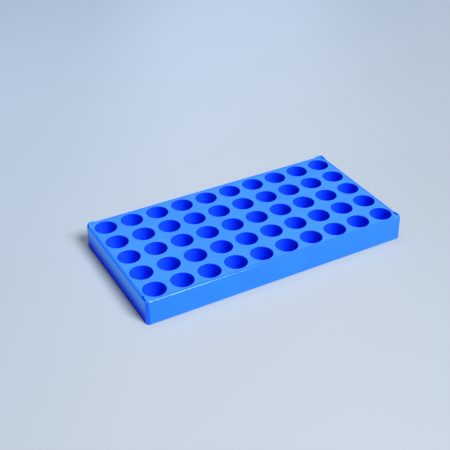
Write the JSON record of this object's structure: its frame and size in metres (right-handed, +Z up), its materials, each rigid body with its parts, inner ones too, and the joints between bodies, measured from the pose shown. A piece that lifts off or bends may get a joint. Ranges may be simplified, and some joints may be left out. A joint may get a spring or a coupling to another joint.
{
  "type": "test tube rack",
  "caption": "Low, flat, one-piece plastic rack: a rectangular deck full of round blind wells, an upright skirt all round and a small raised L-shaped lug on each corner.",
  "frame": {"origin": "under the centre of the rack, on the surface it stands on", "axes": "+X along the long side, columns 01 to 10; +Y across the rack from the front row a to the back row e; +Z up out of the wells"},
  "size_m": [0.2122, 0.1072, 0.0204],
  "materials": {
    "blue_polypropylene": "satin"
  },
  "bodies": {
    "root": {"front_wall": "blue_polypropylene", "right_wall": "blue_polypropylene", "back_wall": "blue_polypropylene", "left_wall": "blue_polypropylene", "well_a01": "blue_polypropylene", "well_a02": "blue_polypropylene", "well_a03": "blue_polypropylene", "well_a04": "blue_polypropylene", "well_a05": "blue_polypropylene", "well_a06": "blue_polypropylene", "well_a07": "blue_polypropylene", "well_a08": "blue_polypropylene", "well_a09": "blue_polypropylene", "well_a10": "blue_polypropylene", "well_b01": "blue_polypropylene", "well_b02": "blue_polypropylene", "well_b03": "blue_polypropylene", "well_b04": "blue_polypropylene", "well_b05": "blue_polypropylene", "well_b06": "blue_polypropylene", "well_b07": "blue_polypropylene", "well_b08": "blue_polypropylene", "well_b09": "blue_polypropylene", "well_b10": "blue_polypropylene", "well_c01": "blue_polypropylene", "well_c02": "blue_polypropylene", "well_c03": "blue_polypropylene", "well_c04": "blue_polypropylene", "well_c05": "blue_polypropylene", "well_c06": "blue_polypropylene", "well_c07": "blue_polypropylene", "well_c08": "blue_polypropylene", "well_c09": "blue_polypropylene", "well_c10": "blue_polypropylene", "well_d01": "blue_polypropylene", "well_d02": "blue_polypropylene", "well_d03": "blue_polypropylene", "well_d04": "blue_polypropylene", "well_d05": "blue_polypropylene", "well_d06": "blue_polypropylene", "well_d07": "blue_polypropylene", "well_d08": "blue_polypropylene", "well_d09": "blue_polypropylene", "well_d10": "blue_polypropylene", "well_e01": "blue_polypropylene", "well_e02": "blue_polypropylene", "well_e03": "blue_polypropylene", "well_e04": "blue_polypropylene", "well_e05": "blue_polypropylene", "well_e06": "blue_polypropylene", "well_e07": "blue_polypropylene", "well_e08": "blue_polypropylene", "well_e09": "blue_polypropylene", "well_e10": "blue_polypropylene", "corner_lug_front_left": "blue_polypropylene", "corner_lug_front_right": "blue_polypropylene", "corner_lug_back_left": "blue_polypropylene", "corner_lug_back_right": "blue_polypropylene"}
  },
  "joints": []
}
